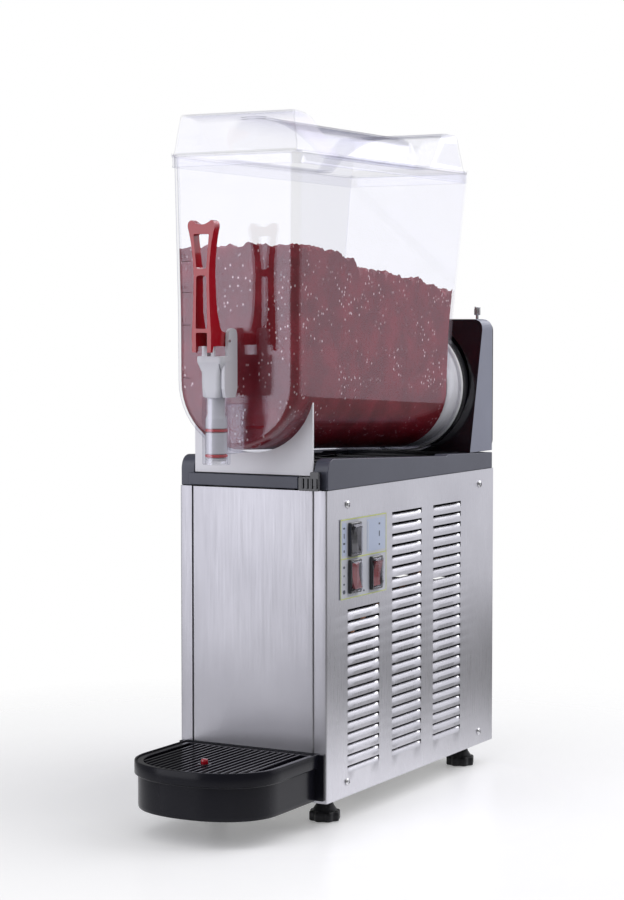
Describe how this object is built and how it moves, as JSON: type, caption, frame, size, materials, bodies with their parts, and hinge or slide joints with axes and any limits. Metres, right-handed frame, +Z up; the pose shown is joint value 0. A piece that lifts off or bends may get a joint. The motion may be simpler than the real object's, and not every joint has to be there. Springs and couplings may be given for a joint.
{
  "type": "slushie machine",
  "caption": "Countertop frozen-drink machine: clear lidded bowl with auger on a cooling cylinder, lever tap, drip tray and louvred steel body holding the refrigeration unit.",
  "frame": {"origin": "centre of the footprint on the surface that the feet stand on", "axes": "+Z up, -Y towards the tap and drip tray, +X to the switch side"},
  "size_m": [0.2089, 0.635, 0.833],
  "materials": {
    "stainless": "brushed stainless sheet",
    "polished_steel": "polished stainless",
    "zinc_plate": "zinc plated",
    "slate_plastic": "satin dark grey moulding",
    "black_gloss": "glossy black moulding",
    "black_satin": "satin black moulding",
    "clear_plastic": "clear polycarbonate",
    "white_plastic": "white moulding",
    "red_plastic": "glossy red moulding",
    "red_rubber": "red silicone",
    "white_rubber": "white silicone",
    "copper": "bare copper",
    "aluminium": "bare",
    "black_enamel": "black paint",
    "label_sheet": "printed sheet"
  },
  "bodies": {
    "housing": {"base_pan": "zinc_plate", "chassis_frame": "zinc_plate", "front_panel": "stainless", "right_side_panel": "stainless", "left_side_panel": "stainless", "panel_screw_front_top": "polished_steel", "panel_screw_front_bottom": "polished_steel", "panel_screw_rear_top": "polished_steel", "panel_screw_rear_bottom": "polished_steel", "rear_panel": "stainless", "power_inlet": "black_satin", "switch_plate": "label_sheet", "switch_body_power": "black_satin", "switch_body_mixer": "black_satin", "switch_body_cooling": "black_satin", "control_box": "zinc_plate", "top_casing": "slate_plastic", "tower_housing": "black_gloss", "tower_rear_cover": "black_satin", "load_microswitch": "black_satin", "evaporator_flange": "black_gloss", "bowl_gasket": "white_rubber", "evaporator_drum": "polished_steel", "evaporator_coil": "copper", "shaft_seal": "white_rubber", "gearbox": "aluminium", "gear_motor": "black_enamel", "compressor": "black_enamel", "condenser": "aluminium", "fan_shroud": "black_satin", "fan_motor": "zinc_plate", "filter_drier": "copper", "discharge_pipe": "copper", "suction_pipe": "copper", "liquid_pipe": "copper"},
    "foot_front_left": {"foot_front_left": "black_satin"},
    "foot_front_right": {"foot_front_right": "black_satin"},
    "foot_rear_left": {"foot_rear_left": "black_satin"},
    "foot_rear_right": {"foot_rear_right": "black_satin"},
    "rocker_power": {"rocker_power": "black_gloss"},
    "rocker_mixer": {"rocker_mixer": "red_plastic"},
    "rocker_cooling": {"rocker_cooling": "red_plastic"},
    "bowl_catch": {"bowl_catch": "black_gloss"},
    "density_screw": {"density_screw": "polished_steel"},
    "auger_drive": {"auger": "white_plastic", "drive_shaft": "polished_steel"},
    "fan": {"fan_blade": "aluminium"},
    "bowl": {"bowl": "clear_plastic", "tap_body": "white_plastic", "tap_pin": "polished_steel", "tap_spring": "polished_steel"},
    "lid": {"lid": "clear_plastic"},
    "tap_handle": {"tap_handle": "red_plastic"},
    "tap_piston": {"tap_piston": "white_plastic", "piston_ring_lower": "red_rubber", "piston_ring_upper": "red_rubber"},
    "drip_tray": {"drip_tray": "black_gloss"},
    "drip_grille": {"drip_grille": "black_satin"},
    "float_indicator": {"float_indicator": "red_plastic"}
  },
  "joints": [
    {"name": "bowl_slide", "type": "slide", "parent": "housing", "child": "bowl", "axis": [0, -0.9991, 0.0419], "range_m": [0, 0.43]},
    {"name": "lid_lift", "type": "slide", "parent": "bowl", "child": "lid", "axis": [0, 0, 1], "range_m": [0, 0.12]},
    {"name": "handle_pull", "type": "hinge", "parent": "bowl", "child": "tap_handle", "pos_m": [0, -0.231, 0.568], "axis": [1, 0, 0], "range_deg": [0, 30], "stiffness_Nm_per_rad": 0.8, "springref_deg": -17.19},
    {"name": "piston_lift", "type": "slide", "parent": "bowl", "child": "tap_piston", "axis": [0, 0, 1], "range_m": [0, 0.019], "deforming": ["tap_spring"]},
    {"name": "auger_spin", "type": "hinge", "parent": "housing", "child": "auger_drive", "pos_m": [0, 0.249, 0.503], "axis": [0, -0.9991, 0.0419], "continuous": true},
    {"name": "fan_spin", "type": "hinge", "parent": "housing", "child": "fan", "pos_m": [0, 0.229, 0.144], "axis": [0, 1, 0], "continuous": true},
    {"name": "tray_slide", "type": "slide", "parent": "housing", "child": "drip_tray", "axis": [0, -1, 0], "range_m": [0, 0.06]},
    {"name": "grille_lift", "type": "slide", "parent": "drip_tray", "child": "drip_grille", "axis": [0, 0, 1], "range_m": [0, 0.05]},
    {"name": "float_rise", "type": "slide", "parent": "drip_tray", "child": "float_indicator", "axis": [0, 0, 1], "range_m": [0, 0.006]},
    {"name": "catch_swing", "type": "hinge", "parent": "housing", "child": "bowl_catch", "pos_m": [0.092, -0.156, 0.405], "axis": [0, 0, 1], "range_deg": [0, 95]},
    {"name": "density_screw_turn", "type": "hinge", "parent": "housing", "child": "density_screw", "pos_m": [0.085, 0.294, 0.6], "axis": [0, 0, 1], "continuous": true},
    {"name": "rocker_power_tilt", "type": "hinge", "parent": "housing", "child": "rocker_power", "pos_m": [0.1022, -0.0875, 0.334], "axis": [0, 1, 0], "range_deg": [-16, 0]},
    {"name": "rocker_mixer_tilt", "type": "hinge", "parent": "housing", "child": "rocker_mixer", "pos_m": [0.1022, -0.0875, 0.29], "axis": [0, 1, 0], "range_deg": [0, 16]},
    {"name": "rocker_cooling_tilt", "type": "hinge", "parent": "housing", "child": "rocker_cooling", "pos_m": [0.1022, -0.033, 0.289], "axis": [0, 1, 0], "range_deg": [-16, 0]},
    {"name": "foot_front_left_turn", "type": "hinge", "parent": "housing", "child": "foot_front_left", "pos_m": [-0.074, -0.108, 0.02], "axis": [0, 0, 1], "continuous": true},
    {"name": "foot_front_right_turn", "type": "hinge", "parent": "housing", "child": "foot_front_right", "pos_m": [0.074, -0.108, 0.02], "axis": [0, 0, 1], "continuous": true},
    {"name": "foot_rear_left_turn", "type": "hinge", "parent": "housing", "child": "foot_rear_left", "pos_m": [-0.074, 0.269, 0.02], "axis": [0, 0, 1], "continuous": true},
    {"name": "foot_rear_right_turn", "type": "hinge", "parent": "housing", "child": "foot_rear_right", "pos_m": [0.074, 0.269, 0.02], "axis": [0, 0, 1], "continuous": true}
  ],
  "couplings": [
    {"joint": "piston_lift", "follows": "handle_pull", "m_per_rad": 0.036}
  ]
}
